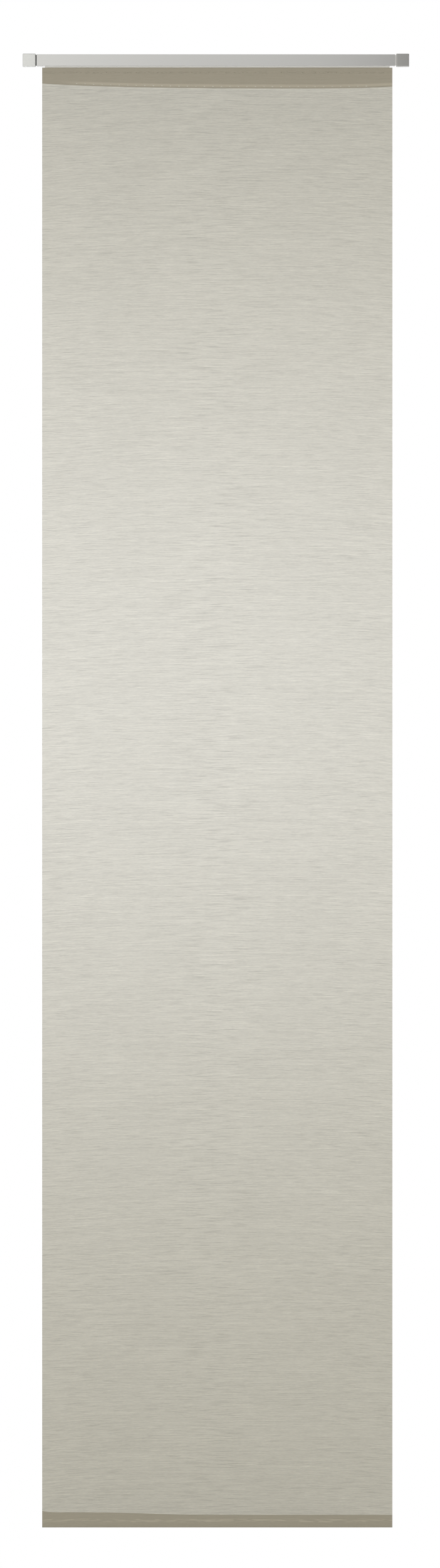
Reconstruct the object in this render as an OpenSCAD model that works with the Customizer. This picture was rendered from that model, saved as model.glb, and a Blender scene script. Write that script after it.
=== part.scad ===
// Sliding panel curtain: a flat cloth panel held by hook and loop tape on a carrier profile,
// whose gliders run in a short square aluminium rail with a cap on each end.
// Millimetres. X runs along the rail, the front is -Y and Z is up.
// The origin is the middle of the rail's top face, where the rail is screwed up.

/* [Panel] */
// Width of the cloth panel
panel_width = 600; // [300:1:1200]
// Drop of the cloth panel from its top fold to its bottom fold
panel_drop = 2500; // [800:1:3000]
// Thickness of the cloth
cloth_thickness = 0.5; // [0.3:0.05:0.9]
// Depth of the turned-back heading, less its rises towards the ends
heading_depth = 36.4; // [34:0.1:60]
// How much shallower the heading gets towards its left end
heading_rise_left = 9.1; // [0:0.1:10]
// How much shallower the heading gets towards its right end
heading_rise_right = 3.7; // [0:0.1:6]
// Height of the bottom hem on its right half
hem_height = 21.7; // [21:0.1:50]
// How much higher the bottom hem is at its left end
hem_rise_left = 4.3; // [0:0.1:12]

/* [Sewing] */
// Spacing of the stitches along the heading's lower seam
heading_stitch_pitch = 14.6; // [6:0.1:30]
// Spacing of the stitches along the tape's seam and the hem
fine_stitch_pitch = 7.3; // [5:0.1:20]
// Length of a stitch that shows
stitch_length = 2.4; // [1:0.1:4]
// Radius of the sewing thread
thread_radius = 0.55; // [0.2:0.05:0.8]
// Distance from a turned edge to its seam
seam_margin = 3.2; // [1:0.1:4]
// Distance from the cloth's side edges to the ends of the seams
seam_inset = 12; // [2:1:60]

/* [Weight bar] */
// Width of the weight bar in the bottom hem
bar_width = 12; // [8:0.5:13]
// Thickness of the weight bar
bar_thickness = 3; // [1.5:0.1:4]
// How far the bar stops short of each side of the cloth
bar_inset = 5; // [0:0.5:30]
// Clearance between bar and cloth
bar_clearance = 0.15; // [0.1:0.05:0.5]
// Height over which the pocket closes above the bar
pocket_slope = 4; // [2:0.5:4]

/* [Tape] */
// Width of the hook and loop tape
tape_width = 25; // [16:1:30]
// Distance from the cloth's top fold down to the tape
tape_drop = 7.4; // [4:0.1:12]
// Thickness of the hook tape on the carrier
hook_tape_thickness = 1.1; // [0.6:0.1:2]
// Thickness of the loop tape on the cloth
loop_tape_thickness = 1.1; // [0.6:0.1:2]
// Distance from the cloth's side edges to the ends of the loop tape
loop_tape_inset = 8; // [0:1:30]
// Distance from the tape's upper edge to its seam
tape_seam_margin = 1.2; // [0.8:0.1:4]

/* [Rail] */
// How much longer the rail is than the carrier
rail_spare = 23.4; // [4:0.1:600]
// Height of the rail's front face
rail_height = 20; // [16:0.5:30]
// Depth of the rail from front to back
rail_depth = 20; // [18.5:0.5:30]
// Wall thickness of the rail
rail_wall = 1.4; // [1:0.1:2]
// Radius of the rail's long edges
rail_edge_radius = 0.6; // [0.2:0.1:1]
// Width of the slot along the rail's underside
slot_width = 8.6; // [7:0.1:10]
// Diameter of the screw holes in the rail's top wall
screw_hole_diameter = 4.5; // [3:0.1:6]
// Distance from each end of the rail to its screw hole
screw_inset = 107; // [40:1:140]

/* [End caps] */
// Length of a cap's block along the rail
cap_length = 22; // [12:0.5:40]
// How far a cap's block stands proud of the rail all round
cap_proud = 1.2; // [0.5:0.1:4]
// Length of the narrow neck between block and rail
cap_neck = 2; // [1:0.1:4]
// How much of the rail's wall the neck rests on
cap_seat = 0.6; // [0.3:0.1:0.9]
// Radius of the block's edges
cap_edge_radius = 1.2; // [0.5:0.1:3]
// Length of the plug that goes into the rail
plug_length = 18; // [8:0.5:24]
// Wall thickness of the plug and of the block's outer end
plug_wall = 1.8; // [1:0.1:3]
// Clearance between plug and rail
plug_clearance = 0.12; // [0.05:0.01:0.3]

/* [Carrier] */
// How far the carrier stops short of each side of the cloth
carrier_inset = 4.7; // [0:0.1:20]
// Wall thickness of the carrier
carrier_wall = 1.3; // [0.9:0.1:2]
// Inside width of the carrier's groove
groove_width = 9; // [8:0.1:12]
// Inside height of the carrier's groove
groove_height = 5; // [4:0.1:8]
// Width of the groove's open mouth
groove_mouth = 5; // [4:0.1:6]
// Height of the carrier's front wall below the tape
carrier_margin = 0.8; // [0.3:0.1:10]
// Running gap between the rail's underside and the carrier
running_gap = 0.3; // [0.3:0.1:1.2]
// Gap between the caps' underside and the cloth's top fold
fold_gap = 1.5; // [0.3:0.1:3]
// Gap between the carrier's visor and the cloth's top fold
visor_gap = 0.2; // [0.2:0.1:0.8]
// Gap between the carrier's right end and the right cap
parking_gap = 11.4; // [0.5:0.1:22]

/* [Gliders] */
// Number of gliders
glider_count = 4; // [2:1:6]
// Length of a glider's head along the rail
glider_length = 20; // [14:0.5:30]
// Height of a glider's head
glider_head_height = 4; // [2:0.5:6]
// Height of a glider's foot in the carrier's groove
glider_foot_height = 3; // [1.5:0.1:3.6]
// Radius of a glider's upright corners
glider_corner_radius = 1.5; // [0.5:0.1:2]
// Side clearance of a glider in the rail and its slot
glider_side_clearance = 0.8; // [0.4:0.1:1.2]
// Side clearance of a glider in the carrier's groove and mouth
glider_groove_clearance = 0.2; // [0.1:0.05:0.4]
// Gap under a glider's head on the rail's ledges
glider_ride_gap = 0.15; // [0.1:0.05:0.3]
// Play of the carrier between a glider's neck and foot
glider_play = 0.1; // [0.05:0.05:0.15]
// Space left between an end glider and the plug when the carrier meets a cap
glider_end_space = 2; // [1:0.5:20]

/* [Hidden] */
// Facets of a full circle, steps along a turned edge, and overlap of cutting shapes
round_detail = 48;
edge_steps = 40;
cut = 1;

// Places along the rail
carrier_length = panel_width - 2 * carrier_inset;
rail_length = carrier_length + rail_spare;
rail_end = rail_length / 2;
cap_face = rail_end + cap_neck;
carrier_middle = cap_face - parking_gap - carrier_length / 2;
cloth_left = carrier_middle - panel_width / 2;
screw_place = rail_end - screw_inset;
glider_inset = plug_length + cap_neck + glider_length / 2 + glider_end_space;
glider_span = carrier_length - 2 * glider_inset;

// Heights
rail_floor = rail_wall - rail_height;
carrier_top = -rail_height - running_gap;
lip_bottom = carrier_top - carrier_wall;
groove_floor = lip_bottom - groove_height;
cloth_top = -rail_height - cap_proud - fold_gap;
cloth_bottom = cloth_top - panel_drop;
visor_bottom = cloth_top + visor_gap;
tape_bottom = cloth_top - tape_drop - tape_width;
carrier_bottom = tape_bottom - carrier_margin;
carrier_height = carrier_top - carrier_bottom;

// Depths, from the carrier's front wall forward to the cloth's front face
carrier_front = -groove_width / 2 - carrier_wall;
hook_tape_front = carrier_front - hook_tape_thickness;
cloth_back = hook_tape_front - loop_tape_thickness;
cloth_inside = cloth_back - cloth_thickness;
cloth_front = cloth_inside - cloth_thickness;

// Bottom hem: a pocket whose lower end is a half ring round the bar
pocket_radius = bar_thickness / 2 + bar_clearance;
hem_radius = pocket_radius + cloth_thickness;
hem_axis_y = cloth_inside + pocket_radius;
hem_axis_z = cloth_bottom + hem_radius;
pocket_back = cloth_inside + 2 * pocket_radius;
bar_length = panel_width - 2 * bar_inset;
bar_straight = bar_width - bar_thickness;
pocket_shoulder = hem_axis_z + bar_straight + pocket_radius;
pocket_close = pocket_shoulder + pocket_slope;

// Turned edges, in shares of the width: how fast the heading's ends rise, and where and how fast the hem steps up
ease_left = 0.225;
ease_right = 0.088;
hem_step_place = 0.3;
hem_step_ease = 0.05;
seam_length = panel_width - 2 * seam_inset;

// Glider sizes
head_bottom = rail_floor + glider_ride_gap;
head_width = rail_depth - 2 * rail_wall - 2 * glider_side_clearance;
neck_bottom = carrier_top + glider_play;
neck_length = 0.7 * glider_length;
neck_width = slot_width - 2 * glider_side_clearance;
foot_top = lip_bottom - glider_play;
foot_length = 0.8 * glider_length;
foot_width = groove_width - 2 * glider_groove_clearance;
stem_length = 0.5 * glider_length;
stem_width = groove_mouth - 2 * glider_groove_clearance;

glider_nodes = [for (i = [1:glider_count]) str("glider_", i)];

// Depth of the heading and height of the hem at a share s of the width, from the left
function heading_at(s) =
    heading_depth - heading_rise_left * exp(-s / ease_left) - heading_rise_right * exp(-(1 - s) / ease_right);
function hem_at(s) = hem_height + hem_rise_left / (1 + exp((s - hem_step_place) / hem_step_ease));
function share_at(x) = (x - cloth_left) / panel_width;
function seam_places(pitch) =
    let (count = floor(seam_length / pitch))
    [for (i = [0:count]) carrier_middle + (i - count / 2) * pitch];

// A section drawn as (Y, Z) and carried along X
module along_x(length) {
    rotate([90, 0, 90])
        linear_extrude(length, center = true)
            children();
}

// An outline drawn as (X, Z) and carried back from the face at front_y
module along_y(front_y, depth) {
    translate([0, front_y + depth, 0])
        rotate([90, 0, 0])
            linear_extrude(depth)
                children();
}

// A rectangle with round corners about the origin
module rounded_rectangle(size, radius) {
    square([size.x - 2 * radius, size.y], center = true);
    square([size.x, size.y - 2 * radius], center = true);
    for (x = [-1, 1], y = [-1, 1])
        translate([x * (size.x / 2 - radius), y * (size.y / 2 - radius)])
            circle(radius, $fn = round_detail);
}

// Half a round thread along X, its flat side on a cloth face, bulging to the side of the sign
module stitch(place, sign) {
    translate(place)
        along_x(stitch_length)
            intersection() {
                circle(thread_radius, $fn = round_detail);
                translate([sign * thread_radius, 0])
                    square(2 * thread_radius, center = true);
            }
}

module rail() {
    color("#b9b8b3")
        difference() {
            translate([0, 0, -rail_height / 2])
                along_x(rail_length)
                    difference() {
                        rounded_rectangle([rail_depth, rail_height], rail_edge_radius);
                        square([rail_depth - 2 * rail_wall, rail_height - 2 * rail_wall], center = true);
                        translate([-slot_width / 2, -rail_height / 2 - cut])
                            square([slot_width, rail_wall + 2 * cut]);
                    }
            for (side = [-1, 1])
                translate([side * screw_place, 0, -rail_wall - cut])
                    cylinder(h = rail_wall + 2 * cut, d = screw_hole_diameter, $fn = round_detail);
        }
}

// The block of a cap, with every edge rounded, from x = 0 outwards
module cap_block() {
    size = [cap_length, rail_depth + 2 * cap_proud, rail_height + 2 * cap_proud];
    translate([cap_length / 2, 0, 0])
        intersection() {
            along_x(size.x)
                rounded_rectangle([size.y, size.z], cap_edge_radius);
            along_y(-size.y / 2, size.y)
                rounded_rectangle([size.x, size.z], cap_edge_radius);
            linear_extrude(size.z, center = true)
                rounded_rectangle([size.x, size.y], cap_edge_radius);
        }
}

// A cap on the right end of the rail: block, neck and a hollow plug inside the rail, whose key fills the slot
module cap_on_right() {
    bore = [rail_depth - 2 * rail_wall, rail_height - 2 * rail_wall];
    plug = [bore.x - 2 * plug_clearance, bore.y - 2 * plug_clearance];
    neck = [bore.x + 2 * cap_seat, bore.y + 2 * cap_seat];
    key_width = slot_width - 2 * plug_clearance;
    core_length = plug_length + cap_neck + cap_length - plug_wall;
    translate([rail_end, 0, -rail_height / 2])
        difference() {
            union() {
                translate([cap_neck, 0, 0])
                    cap_block();
                translate([cap_neck, 0, 0])
                    along_x(2 * cap_neck)
                        square(neck, center = true);
                translate([(cap_neck - plug_length) / 2, 0, 0])
                    along_x(plug_length + cap_neck)
                        square(plug, center = true);
                translate([-plug_length / 2, 0, 0])
                    along_x(plug_length)
                        translate([-key_width / 2, -rail_height / 2])
                            square([key_width, (rail_height - plug.y + plug_wall) / 2]);
            }
            translate([core_length / 2 - plug_length - cut / 2, 0, 0])
                along_x(core_length + cut)
                    square([plug.x - 2 * plug_wall, plug.y - 2 * plug_wall], center = true);
        }
}

module end_cap_right() {
    color("#9d9b97")
        cap_on_right();
}

module end_cap_left() {
    color("#d2d3cf")
        mirror([1, 0, 0])
            cap_on_right();
}

// A groove for the gliders' feet, a wall for the tape and a visor over the cloth's top fold
module carrier() {
    groove_outer = groove_width + 2 * carrier_wall;
    groove_depth = carrier_top - groove_floor + carrier_wall;
    color("#e6e4dd")
        translate([carrier_middle, 0, 0])
            along_x(carrier_length)
                difference() {
                    union() {
                        translate([carrier_front, carrier_bottom])
                            square([carrier_wall, carrier_height]);
                        translate([carrier_front, carrier_top - groove_depth])
                            square([groove_outer, groove_depth]);
                        translate([cloth_front, visor_bottom])
                            square([carrier_front + carrier_wall - cloth_front, carrier_top - visor_bottom]);
                    }
                    translate([-groove_width / 2, groove_floor])
                        square([groove_width, groove_height]);
                    translate([-groove_mouth / 2, lip_bottom - cut])
                        square([groove_mouth, carrier_wall + 2 * cut]);
                }
}

// An upright block of a glider between two heights
module glider_block(length, width, bottom, top) {
    translate([0, 0, bottom])
        linear_extrude(top - bottom)
            rounded_rectangle([length, width], glider_corner_radius);
}

module glider(i) {
    place = carrier_middle + glider_span * ((i - 1) / (glider_count - 1) - 0.5);
    head_top = head_bottom + glider_head_height;
    foot_bottom = foot_top - glider_foot_height;
    color("#efeeea")
        translate([place, 0, 0]) {
            glider_block(glider_length, head_width, head_bottom, head_top);
            glider_block(neck_length, neck_width, neck_bottom, head_top);
            glider_block(stem_length, stem_width, foot_bottom, head_top);
            glider_block(foot_length, foot_width, foot_bottom, foot_top);
        }
}

// A strip of tape with its back on the face at front_y + thickness
module tape(middle, length, front_y, thickness) {
    translate([middle - length / 2, front_y, tape_bottom])
        cube([length, thickness, tape_width]);
}

module hook_tape() {
    color("#dad7cc")
        tape(carrier_middle, carrier_length, hook_tape_front, hook_tape_thickness);
}

module loop_tape() {
    color("#e2dfd4")
        tape(carrier_middle, panel_width - 2 * loop_tape_inset, cloth_back, loop_tape_thickness);
}

// The front layer of the cloth with its rounded top fold
module cloth_sheet() {
    translate([cloth_left, cloth_front, hem_axis_z])
        cube([panel_width, cloth_thickness, cloth_top - cloth_thickness - hem_axis_z]);
    translate([carrier_middle, cloth_inside, cloth_top - cloth_thickness])
        along_x(panel_width)
            circle(cloth_thickness, $fn = round_detail);
}

// The heading turned back behind the front layer, with its eased lower edge
module heading_layer() {
    top = cloth_top - cloth_thickness;
    lower_edge = [for (i = [edge_steps:-1:0])
        [cloth_left + panel_width * i / edge_steps, cloth_top - heading_at(i / edge_steps)]];
    along_y(cloth_front, 2 * cloth_thickness)
        polygon(concat([[cloth_left, top], [cloth_left + panel_width, top]], lower_edge));
}

// The hem pocket round the weight bar, and the turned edge above it
module bottom_hem() {
    translate([carrier_middle, 0, 0])
        along_x(panel_width) {
            translate([hem_axis_y, hem_axis_z])
                difference() {
                    circle(hem_radius, $fn = round_detail);
                    circle(pocket_radius, $fn = round_detail);
                    translate([-2 * hem_radius, 0])
                        square(4 * hem_radius);
                }
            polygon([
                [pocket_back, hem_axis_z],
                [pocket_back + cloth_thickness, hem_axis_z],
                [pocket_back + cloth_thickness, pocket_shoulder],
                [cloth_back, pocket_close + cloth_thickness],
                [cloth_inside, pocket_close + cloth_thickness],
                [cloth_inside, pocket_close],
                [pocket_back, pocket_shoulder]
            ]);
        }
    upper_edge = [for (i = [edge_steps:-1:0])
        [cloth_left + panel_width * i / edge_steps, cloth_bottom + hem_at(i / edge_steps)]];
    along_y(cloth_front, 2 * cloth_thickness)
        polygon(concat([[cloth_left, pocket_close], [cloth_left + panel_width, pocket_close]], upper_edge));
}

module fabric_panel() {
    color("#cfccc0") {
        cloth_sheet();
        heading_layer();
        bottom_hem();
    }
}

module weight_bar() {
    color("#a9a9a6")
        translate([carrier_middle, hem_axis_y, hem_axis_z])
            along_x(bar_length) {
                translate([-bar_thickness / 2, 0])
                    square([bar_thickness, bar_straight]);
                for (z = [0, bar_straight])
                    translate([0, z])
                        circle(bar_thickness / 2, $fn = round_detail);
            }
}

// The seam that holds the loop tape's upper edge
module tape_stitches() {
    color("#b5b0a0")
        for (x = seam_places(fine_stitch_pitch))
            stitch([x, cloth_front, cloth_top - tape_drop - tape_seam_margin], -1);
}

// The seam along the heading's lower edge
module heading_stitches() {
    color("#e4e2da")
        for (x = seam_places(heading_stitch_pitch))
            stitch([x, cloth_front, cloth_top - heading_at(share_at(x)) + seam_margin], -1);
}

// The seam along the hem's turned edge, on the back of the cloth
module hem_stitches() {
    color("#d8d5c9")
        for (x = seam_places(fine_stitch_pitch))
            stitch([x, cloth_back, cloth_bottom + hem_at(share_at(x)) - seam_margin], 1);
}

rail();
end_cap_left();
end_cap_right();
carrier();
for (i = [1:glider_count])
    glider(i);
hook_tape();
loop_tape();
fabric_panel();
weight_bar();
tape_stitches();
heading_stitches();
hem_stitches();
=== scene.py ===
# %% [markdown]
# # A sliding panel curtain
# The object is a flat cloth panel that hangs from a short square aluminium rail. Tape holds the cloth to a
# white carrier, the carrier's gliders run in the rail, and a bar in the bottom hem keeps the cloth straight.
# The measured model already gives every piece its size and place. This script loads it, replaces the soft
# pieces with cloth, tape and thread, and gives every other piece the finish of its material.

import bpy
import numpy as np
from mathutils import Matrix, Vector


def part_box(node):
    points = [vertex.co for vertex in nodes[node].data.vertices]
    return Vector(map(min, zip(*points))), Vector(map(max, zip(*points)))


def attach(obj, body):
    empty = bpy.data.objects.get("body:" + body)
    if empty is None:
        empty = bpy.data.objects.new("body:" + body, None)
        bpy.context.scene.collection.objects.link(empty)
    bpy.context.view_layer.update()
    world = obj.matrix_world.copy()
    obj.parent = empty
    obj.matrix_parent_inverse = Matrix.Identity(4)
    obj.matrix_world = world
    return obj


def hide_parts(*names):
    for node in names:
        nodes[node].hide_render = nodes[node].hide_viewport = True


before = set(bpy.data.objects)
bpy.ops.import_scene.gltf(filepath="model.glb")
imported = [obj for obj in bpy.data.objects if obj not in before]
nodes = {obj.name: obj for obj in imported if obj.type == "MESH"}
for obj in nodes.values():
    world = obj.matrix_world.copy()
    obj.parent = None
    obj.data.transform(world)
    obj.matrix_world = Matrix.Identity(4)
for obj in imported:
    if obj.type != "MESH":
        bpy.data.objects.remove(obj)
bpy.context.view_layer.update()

MM = 0.001

# %% [markdown]
# ## Helpers
# Colours are written as the sRGB hex values that a colour picker shows, but shaders work with linear light,
# so one function turns one into the other. Another adds a shader node with its settings and links in one
# call, which keeps each material short enough to read. A third makes a piece of arrays of points and faces.

# %% Colour, node and mesh helpers
def srgb(code, gain=1.0):
    """Linear RGBA of a hex colour, times gain. A channel c up to 0.04045 becomes c / 12.92,
    and a brighter one becomes ((c + 0.055) / 1.055) ** 2.4."""
    c = np.array([int(code[i:i + 2], 16) for i in (1, 3, 5)]) / 255
    linear = np.where(c <= 0.04045, c / 12.92, ((c + 0.055) / 1.055) ** 2.4)
    return (*(float(v) for v in linear * gain), 1.0)


def add_node(tree, kind, settings=None, sockets=None, stops=()):
    """Adds one shader node. A socket given as another node's output is linked, anything else is set.
    A colour ramp takes its stops as pairs of a place from 0 to 1 and a colour."""
    node = tree.nodes.new(kind)
    for name, value in (settings or {}).items():
        setattr(node, name, value)
    for key, value in (sockets or {}).items():
        if isinstance(value, bpy.types.NodeSocket):
            tree.links.new(value, node.inputs[key])
        else:
            node.inputs[key].default_value = value
    for place, _ in stops[1:-1]:
        node.color_ramp.elements.new(place)
    for number, (_, colour) in enumerate(stops):
        node.color_ramp.elements[number].color = colour
    return node


def start_material(name):
    """An empty material with its Principled shader wired to the output."""
    material = bpy.data.materials.new(name)
    material.use_nodes = True
    tree = material.node_tree
    tree.nodes.clear()
    shader = add_node(tree, "ShaderNodeBsdfPrincipled")
    add_node(tree, "ShaderNodeOutputMaterial", None, {"Surface": shader.outputs["BSDF"]})
    return material, tree, shader


def make_piece(name, points, faces, material, sharp_degrees=40):
    """A smooth mesh object at the origin, in metres, with edges over sharp_degrees kept crisp."""
    mesh = bpy.data.meshes.new(name)
    mesh.from_pydata(points.tolist(), [], faces)
    mesh.polygons.foreach_set("use_smooth", np.ones(len(mesh.polygons), bool))
    mesh.set_sharp_from_angle(angle=np.radians(sharp_degrees))
    mesh.materials.append(material)
    mesh.update()
    piece = bpy.data.objects.new(name, mesh)
    bpy.context.scene.collection.objects.link(piece)
    print(f"{name}: {len(points)} points, {len(faces)} faces")
    return piece


print("middle grey in linear light:", round(srgb("#808080")[0], 3))

# %% [markdown]
# ## Camera
# The picture is a straight front view with little perspective, so the camera stands far back on the middle
# line of the frame with a long lens. The frame is 702 by 2500 pixels, and one pixel spans 1.074 mm on the
# cloth, so the lens follows from the frame's height and the distance.

# %% Camera on the middle line of the frame
FRAME_HIGH_PX = 2500
PIXEL_MM = 1.074
FRAME_CENTRE_MM = (7.0, -1249.5)
CAMERA_DISTANCE_MM = 30000.0

cloth_low, cloth_high = (np.array(v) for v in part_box("fabric_panel"))
camera = bpy.data.objects.new("front_camera", bpy.data.cameras.new("front_camera"))
bpy.context.scene.collection.objects.link(camera)
camera.location = (FRAME_CENTRE_MM[0] * MM,
                   cloth_low[1] - CAMERA_DISTANCE_MM * MM,
                   FRAME_CENTRE_MM[1] * MM)
camera.rotation_euler = (np.pi / 2, 0, 0)
camera.data.lens = camera.data.sensor_width * CAMERA_DISTANCE_MM / (FRAME_HIGH_PX * PIXEL_MM)
camera.data.clip_end = 2 * CAMERA_DISTANCE_MM * MM
bpy.context.scene.camera = camera
print("lens, mm:", round(camera.data.lens, 1))

# %% [markdown]
# ## The cloth's path
# The panel is one rectangle of cloth, folded twice: its upper edge is turned back behind the front to make
# a heading, and its lower edge is turned up round the weight bar. A sheet like that is a path carried across
# the width. The path starts at the heading's raw edge, climbs the back, goes over the top fold, drops down
# the front, rounds the bar and climbs to the hem's raw edge. Both raw edges run a little crooked, as sewn
# ones do, so the path's ends are functions of the place across the width.

# %% Sizes of the folded cloth
CLOTH = 0.5 * MM
HALF_CLOTH = 0.22 * MM        # a little under half, so that the folded layers don't touch
HEADING_DEPTH, HEADING_RISE_LEFT, HEADING_RISE_RIGHT = 36.4 * MM, 9.1 * MM, 3.7 * MM
HEADING_EASE_LEFT, HEADING_EASE_RIGHT = 0.225, 0.088
HEM_HEIGHT, HEM_STEP, HEM_CORNER = 21.7 * MM, 4.3 * MM, 2.6 * MM
HEM_STEP_PLACE, HEM_STEP_EASE, HEM_CORNER_EASE = 0.3, 0.05, 0.012
POCKET_SLOPE = 4.0 * MM
BAR_CLEARANCE = 0.15 * MM

left, right = cloth_low[0], cloth_high[0]
top, bottom = cloth_high[2], cloth_low[2]
width, drop = right - left, top - bottom
bar_low, bar_high = (np.array(v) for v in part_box("weight_bar"))
fold_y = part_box("loop_tape")[0][1] - CLOTH
front_y, back_y = fold_y - CLOTH / 2, fold_y + CLOTH / 2
hem_y = (bar_low[1] + bar_high[1]) / 2
hem_radius = hem_y - front_y
hem_z = bottom + hem_radius + CLOTH / 2
pocket_top = bar_high[2] + BAR_CLEARANCE
tape_seam_z = (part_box("tape_stitches")[0][2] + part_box("tape_stitches")[1][2]) / 2


def heading_depth(s):
    """Depth of the heading at share s of the width: its full depth, less an exponential rise at each end."""
    rise_left = HEADING_RISE_LEFT * np.exp(-s / HEADING_EASE_LEFT)
    rise_right = HEADING_RISE_RIGHT * np.exp((s - 1) / HEADING_EASE_RIGHT)
    return HEADING_DEPTH - rise_left - rise_right


def hem_height(s):
    """Height of the hem at share s of the width: its height at the right, plus a smooth step
    1 / (1 + exp(t)) up to the left, plus an exponential rise at the left corner."""
    step = HEM_STEP / (1 + np.exp((s - HEM_STEP_PLACE) / HEM_STEP_EASE))
    return HEM_HEIGHT + step + HEM_CORNER * np.exp(-s / HEM_CORNER_EASE)


print("cloth, mm:", round(width / MM, 1), "by", round(drop / MM, 1))

# %% [markdown]
# ## How the cloth hangs
# Hung cloth is never quite flat. Two slow waves, about a millimetre deep, run down the panel and die out at
# the tape and at the bar, which hold it straight. The cut side edges curl back by half a millimetre. Cloth
# physics could find the waves too, but a weighted flat panel has no folds to find, so a formula is enough.
# It is one offset along y, which every layer of the fold, every thick yarn and every stitch can share.

# %% Hang of the cloth
WAVE_DEPTHS, WAVES_ACROSS = (0.9 * MM, 0.5 * MM), (0.9, 1.7)
FIRST_WAVE_START, SECOND_WAVE_LEAN = 0.12, 0.4
CURL_DEPTH, CURL_REACH = 0.5 * MM, 0.8 * MM


def hang(x, z):
    """Offset along y: two products of sines over the drop and the width, plus exp(-d / reach) at distance d
    from the nearer side edge."""
    s, v = (x - left) / width, np.clip((top - z) / drop, 0, 1)
    first = np.sin(np.pi * v) ** 2 * np.cos(2 * np.pi * (WAVES_ACROSS[0] * s + FIRST_WAVE_START))
    second = np.cos(2 * np.pi * (WAVES_ACROSS[1] * s + SECOND_WAVE_LEAN * v))
    second = np.sin(2 * np.pi * v) * np.sin(np.pi * v) * second
    edge = np.minimum(x - left, right - x)
    return WAVE_DEPTHS[0] * first + WAVE_DEPTHS[1] * second + CURL_DEPTH * np.exp(-edge / CURL_REACH)


x_line = np.linspace(left, right, 9)
print("hang at mid drop, mm:", np.round(hang(x_line, (top + bottom) / 2) / MM, 2))

# %% [markdown]
# ## The cloth as a grid
# The first parameter runs across the width and the second along the folded path, so the middle of the cloth
# is a plain grid of points. Each point moves half a thickness to either side along the path's normal, which
# gives the two faces, and strips along the four raw edges close them into one solid sheet. A Solidify
# modifier could do the same, but here the path also gives each point its place on the flat cloth.

# %% Grid of the folded cloth
EDGE_STEPS_MM = np.array([0, 0.4, 0.9, 1.6, 2.6, 4.2])
MIDDLE_COLUMNS = 84
HEADING_ROWS, FRONT_ROWS, POCKET_ROWS, FLAP_ROWS, ARC_ROWS = 10, 96, 6, 6, 13


def column_places():
    """Shares of the width, packed closely near both side edges where the cloth curls."""
    edge = EDGE_STEPS_MM * MM / width
    middle = np.linspace(edge[-1], 1 - edge[-1], MIDDLE_COLUMNS)
    return np.concatenate([edge[:-1], middle, 1 - edge[-2::-1]])


def cloth_path(s):
    """Middle line of the cloth at shares s of the width: y and z, with one row for each step of the path."""
    one = np.ones_like(s)
    climb = np.linspace(0, 1, HEADING_ROWS)[:, None]
    turn = np.linspace(0, np.pi, ARC_ROWS)[1:-1, None]
    fall = np.linspace(0, 1, FRONT_ROWS)[:, None]
    pocket = np.linspace(0, 1, POCKET_ROWS)[:, None]
    flap = np.linspace(0, 1, FLAP_ROWS)[1:, None]
    fold_z, flap_z, pocket_y = top - CLOTH, pocket_top + POCKET_SLOPE, hem_y + hem_radius
    legs = (
        (back_y + 0 * climb * one, (top - heading_depth(s)) * (1 - climb) + fold_z * climb),
        (fold_y + CLOTH / 2 * np.cos(turn) * one, fold_z + CLOTH / 2 * np.sin(turn) * one),
        (front_y + 0 * fall * one, fold_z + (hem_z - fold_z) * fall * one),
        (hem_y - hem_radius * np.cos(turn) * one, hem_z - hem_radius * np.sin(turn) * one),
        (pocket_y + 0 * pocket * one, hem_z + (pocket_top - hem_z) * pocket * one),
        (pocket_y + (back_y - pocket_y) * flap * one, pocket_top + (flap_z - pocket_top) * flap * one),
        (back_y + 0 * flap * one, flap_z + (bottom + hem_height(s) - flap_z) * flap),
    )
    return np.vstack([leg[0] for leg in legs]), np.vstack([leg[1] for leg in legs])


shares = column_places()[None, :]
path_y, path_z = cloth_path(shares)
cloth_x = left + width * shares * np.ones_like(path_y)
step_y, step_z = np.gradient(path_y, axis=0), np.gradient(path_z, axis=0)
step = np.hypot(step_y, step_z)
cloth_along = np.cumsum(np.hypot(np.diff(path_y, axis=0), np.diff(path_z, axis=0)), axis=0)
cloth_along = np.vstack([np.zeros_like(shares), cloth_along])
cloth_sides = [np.stack([cloth_x, path_y + half * step_z / step + hang(cloth_x, path_z),
                         path_z - half * step_y / step], axis=-1) for half in (HALF_CLOTH, -HALF_CLOTH)]

# %% Faces of the folded cloth
def strip_faces(first, second):
    """Quads between two neighbouring lines of point numbers, each line an array of the same length."""
    return np.stack([first[:-1], second[:-1], second[1:], first[1:]], axis=-1).reshape(-1, 4)


def closed_sheet(front, back):
    """Points and faces of a solid sheet between two grids of points, with strips along its four edges."""
    near = np.arange(front[..., 0].size).reshape(front.shape[:2])
    far = near + near.size
    faces = np.concatenate([
        strip_faces(near[:-1].T, near[1:].T),
        strip_faces(far[1:].T, far[:-1].T),
        strip_faces(near[:, 0], far[:, 0]),
        strip_faces(far[:, -1], near[:, -1]),
        strip_faces(far[0], near[0]),
        strip_faces(near[-1], far[-1]),
    ])
    return np.concatenate([front.reshape(-1, 3), back.reshape(-1, 3)]), faces


cloth_points, cloth_faces = closed_sheet(*cloth_sides)
cloth_uv = np.tile(np.stack([cloth_x, cloth_along], axis=-1).reshape(-1, 2), (2, 1))
print("cloth quads:", len(cloth_faces))

# %% [markdown]
# ## Thick places in the weft
# The weft yarn of this cloth is uneven. Where it thickens, a flat spindle of yarn stands a little out of
# the cloth on both sides and shows as a short level streak, mostly darker than the rest. All are the same
# spindle, a circle carried along a line with a radius that swells and fades. Geometry nodes could scatter
# them, but numpy places them all at once, and a fixed seed makes the scatter the same every time.

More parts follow.
